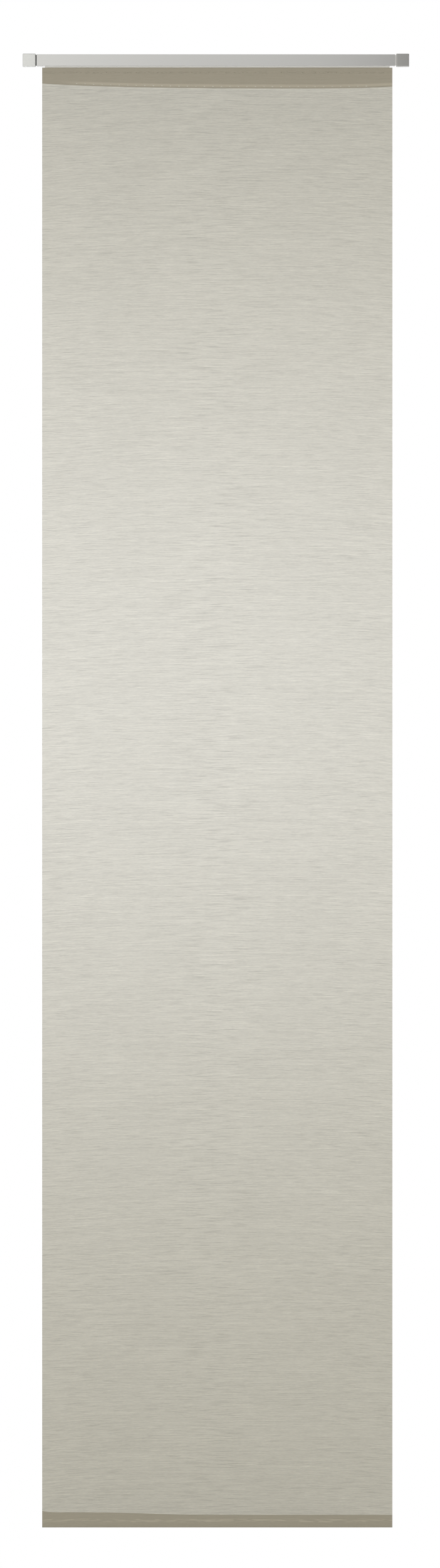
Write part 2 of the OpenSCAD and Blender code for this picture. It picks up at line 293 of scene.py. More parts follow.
# %% Spindles of thick weft yarn
SLUB_COUNT = 1300
SLUB_SIDES, SLUB_RINGS, SLUB_BLUNT = 5, 7, 2.0
SLUB_LENGTH_MM, SLUB_HEIGHT_MM = (14, 62), (0.55, 1.0)
SLUB_PROUD = 0.1 * MM
SLUB_SIDE_MARGIN, SLUB_TOP_MARGIN, SLUB_LOW_MARGIN = 3 * MM, 40 * MM, 33 * MM
SLUB_LEAN, SLUB_TONE, SLUB_TONE_SPREAD = 0.006, -0.035, 0.04
TIP_SHARE = 0.012


def spindle(sides, rings, blunt):
    """A unit spindle along x, with radius (1 - |2a - 1| ** blunt) ** 0.5 / 2 at share a of its length,
    as points, quads and one face on each tip."""
    a = np.linspace(TIP_SHARE, 1 - TIP_SHARE, rings)[:, None]
    b = np.linspace(0, 2 * np.pi, sides, endpoint=False)[None, :]
    radius = np.sqrt(1 - np.abs(2 * a - 1) ** blunt) / 2
    unit = np.stack([(a - 0.5) + 0 * b, radius * np.cos(b), radius * np.sin(b)], axis=-1).reshape(-1, 3)
    ids = np.arange(rings * sides).reshape(rings, sides)
    ring = np.concatenate([ids, ids[:, :1]], axis=1)
    return unit, strip_faces(ring[:-1].T, ring[1:].T)[:, ::-1], np.stack([ids[0, ::-1], ids[-1]])


def place_copies(unit, quads, tips, centres, sizes):
    """Copies of a unit shape, each scaled by its row of sizes and moved to its row of centres."""
    points = centres[:, None, :] + unit[None] * sizes[:, None, :]
    steps = len(unit) * np.arange(len(centres))[:, None, None]
    all_quads = (quads[None] + steps).reshape(-1, 4)
    all_tips = (tips[None] + steps).reshape(-1, tips.shape[1])
    return points.reshape(-1, 3), all_quads.tolist() + all_tips.tolist()


scatter = np.random.default_rng(11)
slub_length = scatter.uniform(*SLUB_LENGTH_MM, SLUB_COUNT) * MM
slub_room = width - 2 * SLUB_SIDE_MARGIN - slub_length
slub_x = left + SLUB_SIDE_MARGIN + slub_length / 2 + scatter.uniform(0, 1, SLUB_COUNT) * slub_room
slub_z = scatter.uniform(bottom + SLUB_LOW_MARGIN, top - SLUB_TOP_MARGIN, SLUB_COUNT)
slub_lean = scatter.normal(0, SLUB_LEAN, SLUB_COUNT)
slub_tone = scatter.normal(SLUB_TONE, SLUB_TONE_SPREAD, SLUB_COUNT)
slub_size = np.stack([slub_length, np.full(SLUB_COUNT, CLOTH + 2 * SLUB_PROUD),
                      scatter.uniform(*SLUB_HEIGHT_MM, SLUB_COUNT) * MM], axis=-1)
slub_centre = np.stack([slub_x, np.full(SLUB_COUNT, front_y), slub_z], axis=-1)
slub_points, slub_faces = place_copies(*spindle(SLUB_SIDES, SLUB_RINGS, SLUB_BLUNT), slub_centre, slub_size)
per_slub = SLUB_SIDES * SLUB_RINGS
slub_points[:, 2] += np.repeat(slub_lean, per_slub) * (slub_points[:, 0] - np.repeat(slub_x, per_slub))
slub_points[:, 1] += hang(slub_points[:, 0], slub_points[:, 2])
print("thick places:", SLUB_COUNT, "points:", len(slub_points))

# %% [markdown]
# ## Colours of the cloth
# The cloth is a plain weave of undyed polyester, and the eye sees a warm grey white. Light from the room
# shines through one layer, so the heading and the hem, where the cloth lies double, look darker and browner.
# See-through layers could be lit from behind, but a colour for each is steadier in any light. Distances from
# the crooked turned edges are kept as attributes in millimetres, so a colour ramp over them draws each edge
# crisply on a coarse grid.

# %% Colours of the turned edges
ONE_LAYER, HEADING_LAYERS, HEM_LAYERS = "#D8D6CC", "#B3AC9B", "#B6B0A0"
EDGE_RAMP_MM = (-10, 40)
# Each stop has a distance in mm inside the turned edge, a colour and the colour's gain. The gains paint a
# shadow line just inside each turned edge and a paler line just outside it.
HEADING_STOPS = (
    (-10, ONE_LAYER, 1), (-4, ONE_LAYER, 1), (-0.3, ONE_LAYER, 1.06),
    (0.2, HEADING_LAYERS, 0.94), (1.6, HEADING_LAYERS, 0.98), (40, HEADING_LAYERS, 1),
)
HEM_STOPS = (
    (-10, ONE_LAYER, 1), (-3, ONE_LAYER, 1), (-0.3, ONE_LAYER, 1.03),
    (0.2, HEM_LAYERS, 0.96), (2.5, HEM_LAYERS, 1), (40, HEM_LAYERS, 1),
)
# Along the heading's seam fewer layers lie behind the cloth, so more light comes through there: a
# painted paler strip, which fades out at the left end of the seam.
STRIP_STOPS = ((-10, 0), (2.0, 0), (2.8, 1), (5.6, 1), (7.6, 0), (40, 0))
STRIP_PAINTED_LIGHT = 1.22
STRIP_START, STRIP_EASE = 0.04, 0.1


def ramp_place(mm):
    """Place from 0 to 1 on an edge ramp of a distance in mm."""
    return (mm - EDGE_RAMP_MM[0]) / (EDGE_RAMP_MM[1] - EDGE_RAMP_MM[0])


def turned_edges(tree, height):
    """The colour of one or two layers, the distance in mm inside a doubled part,
    and the gain of the strip's painted light.
    """
    inside, places, ramps = [], [], []
    for name, table in (("heading_mm", HEADING_STOPS), ("hem_mm", HEM_STOPS)):
        edge = add_node(tree, "ShaderNodeAttribute", {"attribute_name": name}).outputs["Fac"]
        place = add_node(tree, "ShaderNodeMapRange", None, {
            "Value": edge, "From Min": EDGE_RAMP_MM[0], "From Max": EDGE_RAMP_MM[1]}).outputs[0]
        stops = [(ramp_place(mm), srgb(code, gain)) for mm, code, gain in table]
        inside.append(edge)
        places.append(place)
        ramps.append(add_node(tree, "ShaderNodeValToRGB", None, {0: place}, stops).outputs["Color"])
    low_half = add_node(tree, "ShaderNodeMath", {"operation": "LESS_THAN"},
                        {0: height, 1: float(top + bottom) / 2}).outputs[0]
    colour = add_node(tree, "ShaderNodeMix", {"data_type": "RGBA"},
                      {0: low_half, 6: ramps[0], 7: ramps[1]}).outputs[2]
    doubled = add_node(tree, "ShaderNodeMath", {"operation": "MAXIMUM"},
                       {0: inside[0], 1: inside[1]}).outputs[0]
    stops = [(ramp_place(mm), (v, v, v, 1)) for mm, v in STRIP_STOPS]
    strip = add_node(tree, "ShaderNodeValToRGB", None, {0: places[0]}, stops).outputs["Color"]
    seam = add_node(tree, "ShaderNodeAttribute", {"attribute_name": "seam"}).outputs["Fac"]
    strip = add_node(tree, "ShaderNodeMath", {"operation": "MULTIPLY"}, {0: strip, 1: seam}).outputs[0]
    strip = add_node(tree, "ShaderNodeMapRange", None,
                     {"Value": strip, "To Min": 1.0, "To Max": STRIP_PAINTED_LIGHT}).outputs[0]
    return colour, doubled, strip


print("stops of the edge ramps:", len(HEADING_STOPS), len(HEM_STOPS), len(STRIP_STOPS))

# %% [markdown]
# ## Threads of the weft
# The weft is uneven and linen-like, and shows as fine level streaks of many lengths. Noise stretched along
# the weft could draw them, but its spots line up in columns. A thread is one long thing, so here each thread
# has a noise of its own: the height on the cloth gives the thread's number, the number picks a random start,
# and one-dimensional noise from that start runs along the thread. Several kinds of yarn lie over each other,
# and a slow wander keeps the threads from running dead level.

# %% Threads of the weft
# Each kind of yarn has a streak length and a thread height in mm, two noise values and the tones they give.
# Threads are 0.4 mm apart on such cloth. They are drawn coarser here, because finer ones wouldn't show.
YARNS = (
    (6, 0.6, 0.2, 0.8, 0.968, 1.032),
    (18, 0.65, 0.2, 0.8, 0.958, 1.042),
    (48, 0.7, 0.2, 0.8, 0.953, 1.047),
    (180, 0.75, 0.2, 0.8, 0.94, 1.06),
    (36, 0.7, 0.2, 0.4, 0.88, 1.0),
)
START_SPREAD = 1000.0
WANDER_MM, WANDER_DEPTH_MM = (170, 70), 0.9
CLOUD_MM, CLOUD_NOISE, CLOUD_TONES = (110, 45), (0.3, 0.7), (0.993, 1.007)


def level_noise(tree, uv, long_mm, high_mm, distortion=0.0):
    """Noise over the flat cloth, with spots long_mm wide and high_mm high."""
    stretched = add_node(tree, "ShaderNodeVectorMath", {"operation": "MULTIPLY"},
                         {0: uv, 1: (1 / (long_mm * MM), 1 / (high_mm * MM), 1)}).outputs[0]
    return add_node(tree, "ShaderNodeTexNoise", {"noise_dimensions": "2D"}, {
        "Vector": stretched, "Scale": 1.0, "Detail": 0.0, "Distortion": distortion}).outputs["Fac"]


def weft_threads(tree, uv):
    """The product of the tones of a slow cloud and of every kind of yarn, and the first kind's noise."""
    cloud = level_noise(tree, uv, *CLOUD_MM)
    shade = add_node(tree, "ShaderNodeMapRange", None, {
        "Value": cloud, "From Min": CLOUD_NOISE[0], "From Max": CLOUD_NOISE[1],
        "To Min": CLOUD_TONES[0], "To Max": CLOUD_TONES[1]}).outputs[0]
    wander = level_noise(tree, uv, *WANDER_MM)
    flat = add_node(tree, "ShaderNodeSeparateXYZ", None, {0: uv}).outputs
    level = add_node(tree, "ShaderNodeMath", {"operation": "MULTIPLY_ADD"},
                     {0: wander, 1: WANDER_DEPTH_MM * MM, 2: flat["Y"]}).outputs[0]
    first_noise = None
    for long_mm, high_mm, low, high, dark, light in YARNS:
        thread = add_node(tree, "ShaderNodeMath", {"operation": "DIVIDE"},
                          {0: level, 1: high_mm * MM}).outputs[0]
        thread = add_node(tree, "ShaderNodeMath", {"operation": "FLOOR"}, {0: thread}).outputs[0]
        start = add_node(tree, "ShaderNodeTexWhiteNoise", {"noise_dimensions": "1D"},
                         {"W": thread}).outputs["Value"]
        start = add_node(tree, "ShaderNodeMath", {"operation": "MULTIPLY"},
                         {0: start, 1: START_SPREAD}).outputs[0]
        along = add_node(tree, "ShaderNodeMath", {"operation": "MULTIPLY_ADD"},
                         {0: flat["X"], 1: 1 / (long_mm * MM), 2: start}).outputs[0]
        noise = add_node(tree, "ShaderNodeTexNoise", {"noise_dimensions": "1D"},
                         {"W": along, "Scale": 1.0, "Detail": 0.0}).outputs["Fac"]
        tint = add_node(tree, "ShaderNodeMapRange", None, {
            "Value": noise, "From Min": low, "From Max": high, "To Min": dark, "To Max": light}).outputs[0]
        shade = add_node(tree, "ShaderNodeMath", {"operation": "MULTIPLY"},
                         {0: shade, 1: tint}).outputs[0]
        first_noise = first_noise or noise
    return shade, first_noise


print("kinds of yarn:", len(YARNS))

# %% [markdown]
# ## The cloth's finish
# The colours and the threads now come together in one matt material with a little sheen. Two more things
# show on the real cloth. Streaks fade where it lies double, because less light comes through. And the cloth
# puckers in two bands: along the tape's seam its dents are darkened with painted shade, and along the hem
# its ridges over the top of the bar are brightened with painted highlights. A mask could be painted for the
# bands, but a ramp over the height keeps them straight and easy to move.

# %% Bands of painted pucker shade and highlights
# Each band has its lowest and highest z, streak length and height in mm, the noise values where a streak
# starts and is full, and the change of tone in a full streak.
# The seam's band paints shade into the dents with a negative change. The hem's band paints highlights on the
# puckers with a positive one.
PUCKER_SHADING_BANDS = (
    (tape_seam_z - 2.6 * MM, tape_seam_z + 2.2 * MM, 8, 1.4, 0.5, 0.66, -0.1),
    (bottom + 8.5 * MM, bottom + 15.5 * MM, 24, 1.6, 0.48, 0.62, 0.2),
)
BAND_STOPS = ((0, (0, 0, 0, 1)), (0.2, (1, 1, 1, 1)), (0.8, (1, 1, 1, 1)), (1, (0, 0, 0, 1)))
BAND_DISTORTION = 0.6


def painted_pucker_shading(tree, uv, height, shade):
    """Multiplies shade by 1 + change where a streak of a band is full, fading at the band's two edges:
    painted shade in the seam's band, and painted highlights in the hem's band.
    """
    for low, high, long_mm, high_mm, start, full, change in PUCKER_SHADING_BANDS:
        across = add_node(tree, "ShaderNodeMapRange", None,
                          {"Value": height, "From Min": float(low), "From Max": float(high)}).outputs[0]
        across = add_node(tree, "ShaderNodeValToRGB", None, {0: across}, BAND_STOPS).outputs["Color"]
        streak = level_noise(tree, uv, long_mm, high_mm, BAND_DISTORTION)
        streak = add_node(tree, "ShaderNodeMapRange", None, {
            "Value": streak, "From Min": start, "From Max": full, "To Max": change}).outputs[0]
        streak = add_node(tree, "ShaderNodeMath", {"operation": "MULTIPLY_ADD"},
                          {0: streak, 1: across, 2: 1.0}).outputs[0]
        shade = add_node(tree, "ShaderNodeMath", {"operation": "MULTIPLY"},
                         {0: shade, 1: streak}).outputs[0]
    return shade


print("bands of single yarns:", len(PUCKER_SHADING_BANDS))

# %% Material of the cloth
DOUBLED_STREAKS, DOUBLED_EASE_MM = 0.3, 0.5
WAVE_PERIOD = 0.314        # a wave texture of scale 1 repeats after this length
THREAD_MM, THREAD_RELIEF = 1.2, 0.3        # coarser than the real threads, or their relief wouldn't show


def slub_weave():
    """Plain-woven slub polyester: the layers' colour times the tones of threads, thick places and bands."""
    material, tree, shader = start_material("slub_weave_polyester")
    uv = add_node(tree, "ShaderNodeUVMap", {"uv_map": "cloth"}).outputs["UV"]
    place = add_node(tree, "ShaderNodeTexCoord").outputs["Object"]
    height = add_node(tree, "ShaderNodeSeparateXYZ", None, {0: place}).outputs["Z"]
    colour, doubled, strip = turned_edges(tree, height)
    shade, yarn = weft_threads(tree, uv)

    streaks = add_node(tree, "ShaderNodeMapRange", None, {
        "Value": doubled, "From Max": DOUBLED_EASE_MM, "To Min": 1.0, "To Max": DOUBLED_STREAKS}).outputs[0]
    shade = add_node(tree, "ShaderNodeMath", {"operation": "SUBTRACT"}, {0: shade, 1: 1.0}).outputs[0]
    shade = add_node(tree, "ShaderNodeMath", {"operation": "MULTIPLY_ADD"},
                     {0: shade, 1: streaks, 2: 1.0}).outputs[0]
    tone = add_node(tree, "ShaderNodeAttribute", {"attribute_name": "tone"}).outputs["Fac"]
    for gain in (tone, strip):
        shade = add_node(tree, "ShaderNodeMath", {"operation": "MULTIPLY"}, {0: shade, 1: gain}).outputs[0]
    shade = painted_pucker_shading(tree, uv, height, shade)
    colour = add_node(tree, "ShaderNodeVectorMath", {"operation": "SCALE"}, {0: colour, "Scale": shade})

    threads = add_node(tree, "ShaderNodeTexWave", {"bands_direction": "Y"}, {
        "Vector": uv, "Scale": WAVE_PERIOD / (THREAD_MM * MM), "Distortion": 0.4}).outputs["Fac"]
    relief = add_node(tree, "ShaderNodeMath", {"operation": "MULTIPLY_ADD"},
                      {0: threads, 1: THREAD_RELIEF, 2: yarn})
    bump = add_node(tree, "ShaderNodeBump", None,
                    {"Strength": 0.3, "Distance": 0.2 * MM, "Height": relief.outputs[0]})
    tree.links.new(colour.outputs[0], shader.inputs["Base Color"])
    tree.links.new(bump.outputs["Normal"], shader.inputs["Normal"])
    shader.inputs["Roughness"].default_value = 0.85
    shader.inputs["Specular IOR Level"].default_value = 0.2
    shader.inputs["Sheen Weight"].default_value = 0.06
    return material


cloth_finish = slub_weave()
print("nodes in the cloth's material:", len(cloth_finish.node_tree.nodes))

# %% Cloth panel
all_points = np.concatenate([cloth_points, slub_points])
all_faces = cloth_faces.tolist() + [[v + len(cloth_points) for v in face] for face in slub_faces]
panel = make_piece("cloth_panel", all_points, all_faces, cloth_finish, sharp_degrees=60)

share = (all_points[:, 0] - left) / width
point_values = {
    "heading_mm": (all_points[:, 2] - (top - heading_depth(share))) / MM,
    "hem_mm": (bottom + hem_height(share) - all_points[:, 2]) / MM,
    "seam": np.clip((share - STRIP_START) / STRIP_EASE, 0, 1),
    "tone": np.concatenate([np.ones(len(cloth_points)), 1 + np.repeat(slub_tone, per_slub)]),
}
for name, values in point_values.items():
    panel.data.attributes.new(name, "FLOAT", "POINT").data.foreach_set("value", values.astype(np.float32))
all_uv = np.concatenate([cloth_uv, slub_points[:, [0, 2]] * (1, -1)])
corners = np.empty(len(panel.data.loops), np.int32)
panel.data.loops.foreach_get("vertex_index", corners)
panel.data.uv_layers.new(name="cloth").data.foreach_set("uv", all_uv[corners].astype(np.float32).ravel())
print("cloth values:", ", ".join(point_values))

# %% [markdown]
# ## Stitches
# Three seams hold the panel together: one along the loop tape's upper edge, one along the heading's lower
# edge, whose pale stitches show on the front, and one along the hem that shows on the back. A stitch is a
# short plump length of thread that dives into the cloth at both ends, so it is the same spindle again with
# blunt tips, half sunk in the cloth. Towards both ends the heading's stitches pull tight and sink from
# sight. A curve for each thread would show no more than this, because the rest of it is inside of the cloth.

# %% Material and rows of stitches
TWIST_MM = 0.5
STITCH_MM = np.array([2.5, 0.9, 1.25])
STITCH_SIDES, STITCH_RINGS, STITCH_BLUNT = 8, 7, 4.0
FINE_PITCH_MM, WIDE_PITCH_MM = 7.3, 14.6
SEAM_MARGIN = 3.2 * MM
TAPE_SEAM_SINK = 0.1 * MM
TIGHT_ENDS, TIGHT_EASE, TIGHT_SINK = (0.1, 0.94), 0.012, 0.55 * MM


def spun_thread(name, code):
    """Spun polyester sewing thread: a matt colour with the slanted lines of its twist."""
    material, tree, shader = start_material(name)
    place = add_node(tree, "ShaderNodeTexCoord").outputs["Object"]
    twist = add_node(tree, "ShaderNodeTexWave", {"bands_direction": "DIAGONAL"},
                     {"Vector": place, "Scale": WAVE_PERIOD / (TWIST_MM * MM), "Distortion": 0.4})
    colour = add_node(tree, "ShaderNodeMix", {"data_type": "RGBA"},
                      {0: twist.outputs["Fac"], 6: srgb(code), 7: srgb(code, 0.85)})
    tree.links.new(colour.outputs[2], shader.inputs["Base Color"])
    shader.inputs["Roughness"].default_value = 0.6
    shader.inputs["Sheen Weight"].default_value = 0.2
    return material


def stitch_row(name, node, face_y, pitch_mm, height, material, spread, sink=0.0):
    """Stitches at an even pitch along the node's box, each at height(share) on the face at face_y.
    Their sizes vary within spread, and those near both ends lie deeper by up to sink."""
    low, high = (np.array(v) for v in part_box(node))
    count = round((high[0] - low[0]) / (pitch_mm * MM)) + 1
    tip = STITCH_MM[0] / 2 * MM
    x = np.linspace(low[0] + tip, high[0] - tip, count)
    share = (x - left) / width
    past_end = np.maximum(TIGHT_ENDS[0] - share, share - TIGHT_ENDS[1])
    y = face_y + sink * np.clip(past_end / TIGHT_EASE, 0, 1)
    uneven = scatter.uniform(*spread, (count, 1))
    unit_stitch = spindle(STITCH_SIDES, STITCH_RINGS, STITCH_BLUNT)
    centres = np.stack([x, y, height(share)], axis=-1)
    points, faces = place_copies(*unit_stitch, centres, STITCH_MM * MM * uneven)
    points[:, 1] += hang(points[:, 0], points[:, 2])
    piece = make_piece(name, points, faces, material)
    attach(piece, "panel")
    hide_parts(node)
    return piece


pale_thread = spun_thread("pale_polyester_thread", "#DEDBCF")
matched_thread = spun_thread("matched_polyester_thread", "#A29B8A")
cloth_face, cloth_back = front_y - CLOTH / 2, back_y + CLOTH / 2
seams = [
    stitch_row("tape_seam", "tape_stitches", cloth_face + TAPE_SEAM_SINK, FINE_PITCH_MM,
               lambda s: np.full_like(s, tape_seam_z), matched_thread, (0.15, 1.0)),
    stitch_row("heading_seam", "heading_stitches", cloth_face, WIDE_PITCH_MM,
               lambda s: top - heading_depth(s) + SEAM_MARGIN, pale_thread, (0.8, 1.22), TIGHT_SINK),
    stitch_row("hem_seam", "hem_stitches", cloth_back, FINE_PITCH_MM,
               lambda s: bottom + hem_height(s) - SEAM_MARGIN, pale_thread, (0.8, 1.1)),
]
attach(panel, "panel")
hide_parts("fabric_panel")

# %% [markdown]
# ## Hook and loop tape
# Both tapes are woven ribbons with plain edges and rows of pile between them, and the two piles meet tip to
# tip. Single hooks and loops would be thousands of tiny curves that nobody sees, so each tape is again a
# solid sheet between two grids: one face is flat on what carries it, and the other stands out in rounded
# rows, each row a sine, that swell and sink along the tape.

# %% Material and strips of tape
PLAIN_EDGE_SHARE, RIBBON_SHARE = 0.07, 0.42
PILE_ROWS, STEPS_PER_ROW, TAPE_COLUMNS = 9, 5, 120
PILE_ROUNDNESS, PILE_GAP = 0.7, 0.03 * MM
SWELL_MM, SWELL_DEPTH = 13.0, 0.1


def woven_tape(name, code, pile_mm):
    """Hook or loop tape: woven nylon with an even field of small tufts."""
    material, tree, shader = start_material(name)
    place = add_node(tree, "ShaderNodeTexCoord").outputs["Object"]
    tufts = add_node(tree, "ShaderNodeTexVoronoi", None,
                     {"Vector": place, "Scale": 1 / (pile_mm * MM)}).outputs["Distance"]
    colour = add_node(tree, "ShaderNodeMix", {"data_type": "RGBA"},
                      {0: tufts, 6: srgb(code), 7: srgb(code, 0.7)})
    bump = add_node(tree, "ShaderNodeBump", None, {"Strength": 0.6, "Distance": 0.3 * MM, "Height": tufts})
    tree.links.new(colour.outputs[2], shader.inputs["Base Color"])
    tree.links.new(bump.outputs["Normal"], shader.inputs["Normal"])
    shader.inputs["Roughness"].default_value = 0.9
    return material


def tape_strip(name, node, pile_to_back, material):
    """A ribbon over the node's box. At share u of its field, the pile has the height
    |sin(pi * rows * u)| ** roundness, times a slow cosine along the tape."""
    low, high = (np.array(v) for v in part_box(node))
    across = np.linspace(0, 1, STEPS_PER_ROW * PILE_ROWS + 1)[:, None]
    along = np.linspace(low[0], high[0], TAPE_COLUMNS)[None, :]
    field = np.clip((across - PLAIN_EDGE_SHARE) / (1 - 2 * PLAIN_EDGE_SHARE), 0, 1)
    swell = 1 - SWELL_DEPTH + SWELL_DEPTH * np.cos(2 * np.pi * along / (SWELL_MM * MM))
    pile = np.abs(np.sin(np.pi * PILE_ROWS * field)) ** PILE_ROUNDNESS
    share = RIBBON_SHARE + (1 - RIBBON_SHARE) * pile * swell
    deep = (high[1] - low[1] - PILE_GAP) * share
    x, z = along + 0 * across, high[2] + (low[2] - high[2]) * across + 0 * along
    flat_y = np.full_like(deep, low[1] if pile_to_back else high[1])
    pile_y = flat_y + deep if pile_to_back else flat_y - deep
    front_grid = np.stack([x, np.minimum(flat_y, pile_y), z], axis=-1)
    back_grid = np.stack([x, np.maximum(flat_y, pile_y), z], axis=-1)
    points, faces = closed_sheet(front_grid, back_grid)
    piece = make_piece(name, points, faces.tolist(), material, sharp_degrees=60)
    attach(piece, "panel")
    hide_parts(node)


tape_strip("hook_ribbon", "hook_tape", False, woven_tape("nylon_hook_tape", "#DAD7CC", pile_mm=1.4))
tape_strip("loop_ribbon", "loop_tape", True, woven_tape("nylon_loop_tape", "#E2DFD4", pile_mm=0.9))

# %% [markdown]
# ## Rail, caps and hardware
# These pieces are already exact in the measured model, so only their surfaces are made here. The rail is
# drawn aluminium with a satin anodised skin, and the drawing leaves fine lines along it. The caps are
# moulded plastic with one silver lacquer, and light from the left is painted into them: the left cap is
# lighter than the right one, the left cap's neck is darkened with painted shade and the right one's is
# brightened with a painted highlight. The carrier is powder coated white, and the gliders are white
# acetal. Pictures of such surfaces could be wrapped round the pieces, but noise needs no unwrapping.

# %% Drawn metal
# The lines and the grain of real pieces are finer. They are drawn coarser here, or they wouldn't show.
DIE_LINE_MM = 600
METAL_TONES, METAL_GLOSS_SPREAD = (0.97, 1.03), 0.06


def drawn_metal(name, code, roughness, line_mm):
    """Drawn aluminium: noise stretched far along x gives the lines of the die in tone, gloss and height."""
    material, tree, shader = start_material(name)
    place = add_node(tree, "ShaderNodeTexCoord").outputs["Object"]
    scale = (1 / (DIE_LINE_MM * MM), 1 / (line_mm * MM), 1 / (line_mm * MM))
    stretched = add_node(tree, "ShaderNodeVectorMath", {"operation": "MULTIPLY"},
                         {0: place, 1: scale}).outputs[0]
    lines = add_node(tree, "ShaderNodeTexNoise", None,
                     {"Vector": stretched, "Scale": 1.0, "Detail": 3.0}).outputs["Fac"]
    gloss = add_node(tree, "ShaderNodeMapRange", None, {
        "Value": lines, "To Min": roughness - METAL_GLOSS_SPREAD,
        "To Max": roughness + METAL_GLOSS_SPREAD}).outputs[0]
    tone = add_node(tree, "ShaderNodeMapRange", None,
                    {"Value": lines, "To Min": METAL_TONES[0], "To Max": METAL_TONES[1]}).outputs[0]
    colour = add_node(tree, "ShaderNodeVectorMath", {"operation": "SCALE"},
                      {0: srgb(code)[:3], "Scale": tone})
    bump = add_node(tree, "ShaderNodeBump", None,
                    {"Strength": 0.12, "Distance": 0.05 * MM, "Height": lines})
    tree.links.new(colour.outputs[0], shader.inputs["Base Color"])
    tree.links.new(gloss, shader.inputs["Roughness"])
    tree.links.new(bump.outputs["Normal"], shader.inputs["Normal"])
    shader.inputs["Metallic"].default_value = 1.0
    return material


print("length of the die's lines, mm:", DIE_LINE_MM)

# %% Moulded and sprayed surfaces
GRAIN_TONES = (0.96, 1.04)
NECK_LENGTH = 1.9 * MM

neck_end = float(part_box("rail")[1][0]) + NECK_LENGTH


def moulded(name, code, roughness, grain_mm, metallic=0.0, painted_neck_shading=None):
    """Moulded plastic or a sprayed coat: a plain colour with the fine grain of the tool or the spray.
    With painted_neck_shading, the colour of a cap's neck, where |x| is less than neck_end, is multiplied by
    it:
    a gain below 1 is painted shade, and one above 1 is a painted highlight."""
    material, tree, shader = start_material(name)
    place = add_node(tree, "ShaderNodeTexCoord").outputs["Object"]
    grain = add_node(tree, "ShaderNodeTexNoise", None,
                     {"Vector": place, "Scale": 1 / (grain_mm * MM), "Detail": 2.0}).outputs["Fac"]
    tone = add_node(tree, "ShaderNodeMapRange", None,
                    {"Value": grain, "To Min": GRAIN_TONES[0], "To Max": GRAIN_TONES[1]}).outputs[0]
    if painted_neck_shading is not None:
        along = add_node(tree, "ShaderNodeSeparateXYZ", None, {0: place}).outputs["X"]
        along = add_node(tree, "ShaderNodeMath", {"operation": "ABSOLUTE"}, {0: along}).outputs[0]
        neck = add_node(tree, "ShaderNodeMath", {"operation": "LESS_THAN"},
                        {0: along, 1: neck_end}).outputs[0]
        neck = add_node(tree, "ShaderNodeMapRange", None,
                        {"Value": neck, "To Min": 1.0, "To Max": painted_neck_shading}).outputs[0]
        tone = add_node(tree, "ShaderNodeMath", {"operation": "MULTIPLY"}, {0: tone, 1: neck}).outputs[0]
    colour = add_node(tree, "ShaderNodeVectorMath", {"operation": "SCALE"},
                      {0: srgb(code)[:3], "Scale": tone})
    bump = add_node(tree, "ShaderNodeBump", None,
                    {"Strength": 0.1, "Distance": 0.05 * MM, "Height": grain})
    tree.links.new(colour.outputs[0], shader.inputs["Base Color"])
    tree.links.new(bump.outputs["Normal"], shader.inputs["Normal"])
    shader.inputs["Roughness"].default_value = roughness
    shader.inputs["Metallic"].default_value = metallic
    return material


print("the caps' necks end at x, mm:", round(neck_end / MM, 1))

# %% Give each measured piece its finish
acetal = moulded("moulded_acetal", "#EFEEEA", roughness=0.45, grain_mm=0.8)
finishes = {
    "rail": drawn_metal("satin_anodised_aluminium", "#B8B7B3", roughness=0.5, line_mm=0.8),
    # Both caps share one lacquer. The left one's lighter colour is painted light, and the right one's darker
    # colour is painted shade.
    "end_cap_left": moulded("silver_lacquer_painted_light_neck_shade", "#BABAB6", roughness=0.36, grain_mm=0.6,
                            metallic=0.8, painted_neck_shading=0.2),
    "end_cap_right": moulded("silver_lacquer_painted_shade_neck_highlight", "#ABAAA6", roughness=0.36, grain_mm=0.6,
                             metallic=0.8, painted_neck_shading=1.7),
    "carrier": moulded("white_powder_coat", "#F0EFE9", roughness=0.5, grain_mm=0.9),
    "weight_bar": drawn_metal("mill_aluminium", "#A9A9A6", roughness=0.4, line_mm=0.5),
    **{name: acetal for name in nodes if name.startswith("glider_")},
}
for name, finish in finishes.items():
    nodes[name].data.materials.clear()
    nodes[name].data.materials.append(finish)
print("finished:", ", ".join(finishes))

# %% [markdown]
# ## Light and floor
# The panel is lit softly from the front, brightest a little above its middle and darker towards both ends.
# A long narrow lamp at that level gives the slow falloff, an even, slightly warm sky fills the rest, and a
# pale flag above and one below keep some of the sky off the ends. A picture of a studio could light it too,
# but lamps and cards are easier to move. The back has a lamp of its own. Two cards are seen only by shiny
# surfaces: a bright one to the left and a dark one to the right shade the metal rail.

# %% Sky and floor
SKY = (0.6, 0.577, 0.513, 1.0)
FLOOR_DROP, FLOOR_RADIUS, FLOOR_SIDES = 0.3, 4.0, 96
FLOOR_FADE, FLOOR_GLOW = (0.8, 3.6), (0.35, 1.0)


def paint_sky():
    """A white background for the camera and for reflections, and a softer warm light on everything."""
    world = bpy.data.worlds.new("studio_sky")
    bpy.context.scene.world = world
    world.use_nodes = True
    tree = world.node_tree
    tree.nodes.clear()
    path = add_node(tree, "ShaderNodeLightPath").outputs
    seen = add_node(tree, "ShaderNodeMath", {"operation": "MAXIMUM"},
                    {0: path["Is Camera Ray"], 1: path["Is Glossy Ray"]}).outputs[0]
    seen = add_node(tree, "ShaderNodeMath", {"operation": "MAXIMUM"},
                    {0: seen, 1: path["Is Transmission Ray"]}).outputs[0]
    light = add_node(tree, "ShaderNodeMix", {"data_type": "RGBA"},
                     {0: seen, 6: SKY, 7: (1, 1, 1, 1)}).outputs[2]
    sky = add_node(tree, "ShaderNodeBackground", None, {"Color": light})
    add_node(tree, "ShaderNodeOutputWorld", None, {"Surface": sky.outputs[0]})


